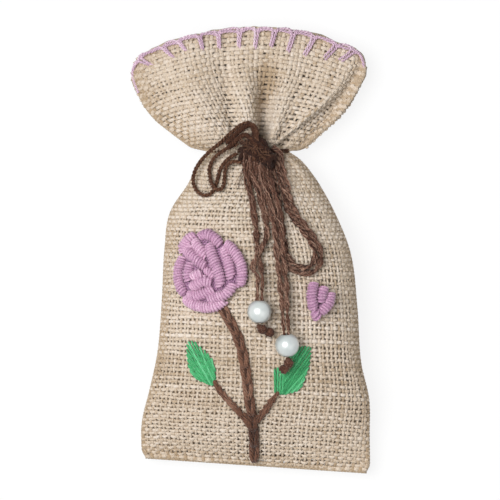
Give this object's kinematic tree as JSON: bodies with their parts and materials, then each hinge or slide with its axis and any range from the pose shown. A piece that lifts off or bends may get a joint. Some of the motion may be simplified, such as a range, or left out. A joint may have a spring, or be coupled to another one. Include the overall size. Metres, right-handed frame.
{
  "type": "lavender sachet",
  "caption": "Stuffed burlap sachet with a ruffled mouth, tied with a cord bow whose tails carry sliding pearls; embroidered with a rose, bud, leaves and blanket stitch.",
  "frame": {"origin": "middle of the bag's footprint, on the table under its back", "axes": "+Y from the bottom seam to the ruffled mouth, +X to the right as the front is seen, +Z out of the front"},
  "size_m": [0.0816, 0.1485, 0.0391],
  "materials": {
    "burlap": "coarse natural jute, plain weave, matt",
    "muslin": "thin plain cotton, dark natural, matt",
    "dried_buds": "loose dried lavender, matt",
    "sewing_thread": "matt",
    "lavender_thread": "cotton embroidery thread, soft sheen",
    "green_thread": "cotton embroidery thread, soft sheen",
    "brown_thread": "cotton embroidery thread, soft sheen",
    "brown_cord": "twisted cord, slightly fuzzy",
    "pearl": "pearlescent, glossy"
  },
  "bodies": {
    "bag": {"front_panel": "burlap", "back_panel": "burlap", "pouch_front": "muslin", "pouch_back": "muslin", "lavender_filling": "dried_buds", "left_seam_thread": "sewing_thread", "right_seam_thread": "sewing_thread", "bottom_seam_thread": "sewing_thread", "mouth_stitch_front": "lavender_thread", "mouth_stitch_back": "lavender_thread", "rose_stitch_01": "lavender_thread", "rose_stitch_02": "lavender_thread", "rose_stitch_03": "lavender_thread", "rose_stitch_04": "lavender_thread", "rose_stitch_05": "lavender_thread", "rose_stitch_06": "lavender_thread", "rose_stitch_07": "lavender_thread", "rose_stitch_08": "lavender_thread", "rose_stitch_09": "lavender_thread", "rose_stitch_10": "lavender_thread", "rose_stitch_11": "lavender_thread", "rose_stitch_12": "lavender_thread", "rose_stitch_13": "lavender_thread", "rose_stitch_14": "lavender_thread", "bud_stitch_1": "lavender_thread", "bud_stitch_2": "lavender_thread", "bud_stitch_3": "lavender_thread", "bud_stitch_4": "lavender_thread", "leaf_left": "green_thread", "leaf_right": "green_thread", "stem": "brown_thread", "branch_left": "brown_thread", "branch_right": "brown_thread", "neck_tie": "brown_cord", "bow_knot": "brown_cord", "left_loop_outer": "brown_cord", "left_loop_inner": "brown_cord", "right_loop_outer": "brown_cord", "right_loop_inner": "brown_cord"},
    "left_tail": {"left_tail_a": "brown_cord", "left_tail_b": "brown_cord", "left_end_knot": "brown_cord"},
    "left_bead": {"left_pearl": "pearl"},
    "right_tail": {"right_tail_a": "brown_cord", "right_tail_b": "brown_cord", "right_end_knot": "brown_cord"},
    "right_bead": {"right_pearl": "pearl"}
  },
  "joints": [
    {"name": "left_tail_lift", "type": "hinge", "parent": "bag", "child": "left_tail", "pos_m": [-0.00025, 0.0282, 0.0225], "axis": [-1, 0, 0], "range_deg": [0, 100]},
    {"name": "left_pearl_slide", "type": "slide", "parent": "left_tail", "child": "left_bead", "axis": [0.02, 0.9997, 0.0112], "range_m": [0, 0.006]},
    {"name": "right_tail_lift", "type": "hinge", "parent": "bag", "child": "right_tail", "pos_m": [0.00395, 0.0282, 0.0223], "axis": [-1, 0, 0], "range_deg": [0, 100]},
    {"name": "right_pearl_slide", "type": "slide", "parent": "right_tail", "child": "right_bead", "axis": [-0.0692, 0.9888, 0.1319], "range_m": [0, 0.006]}
  ]
}
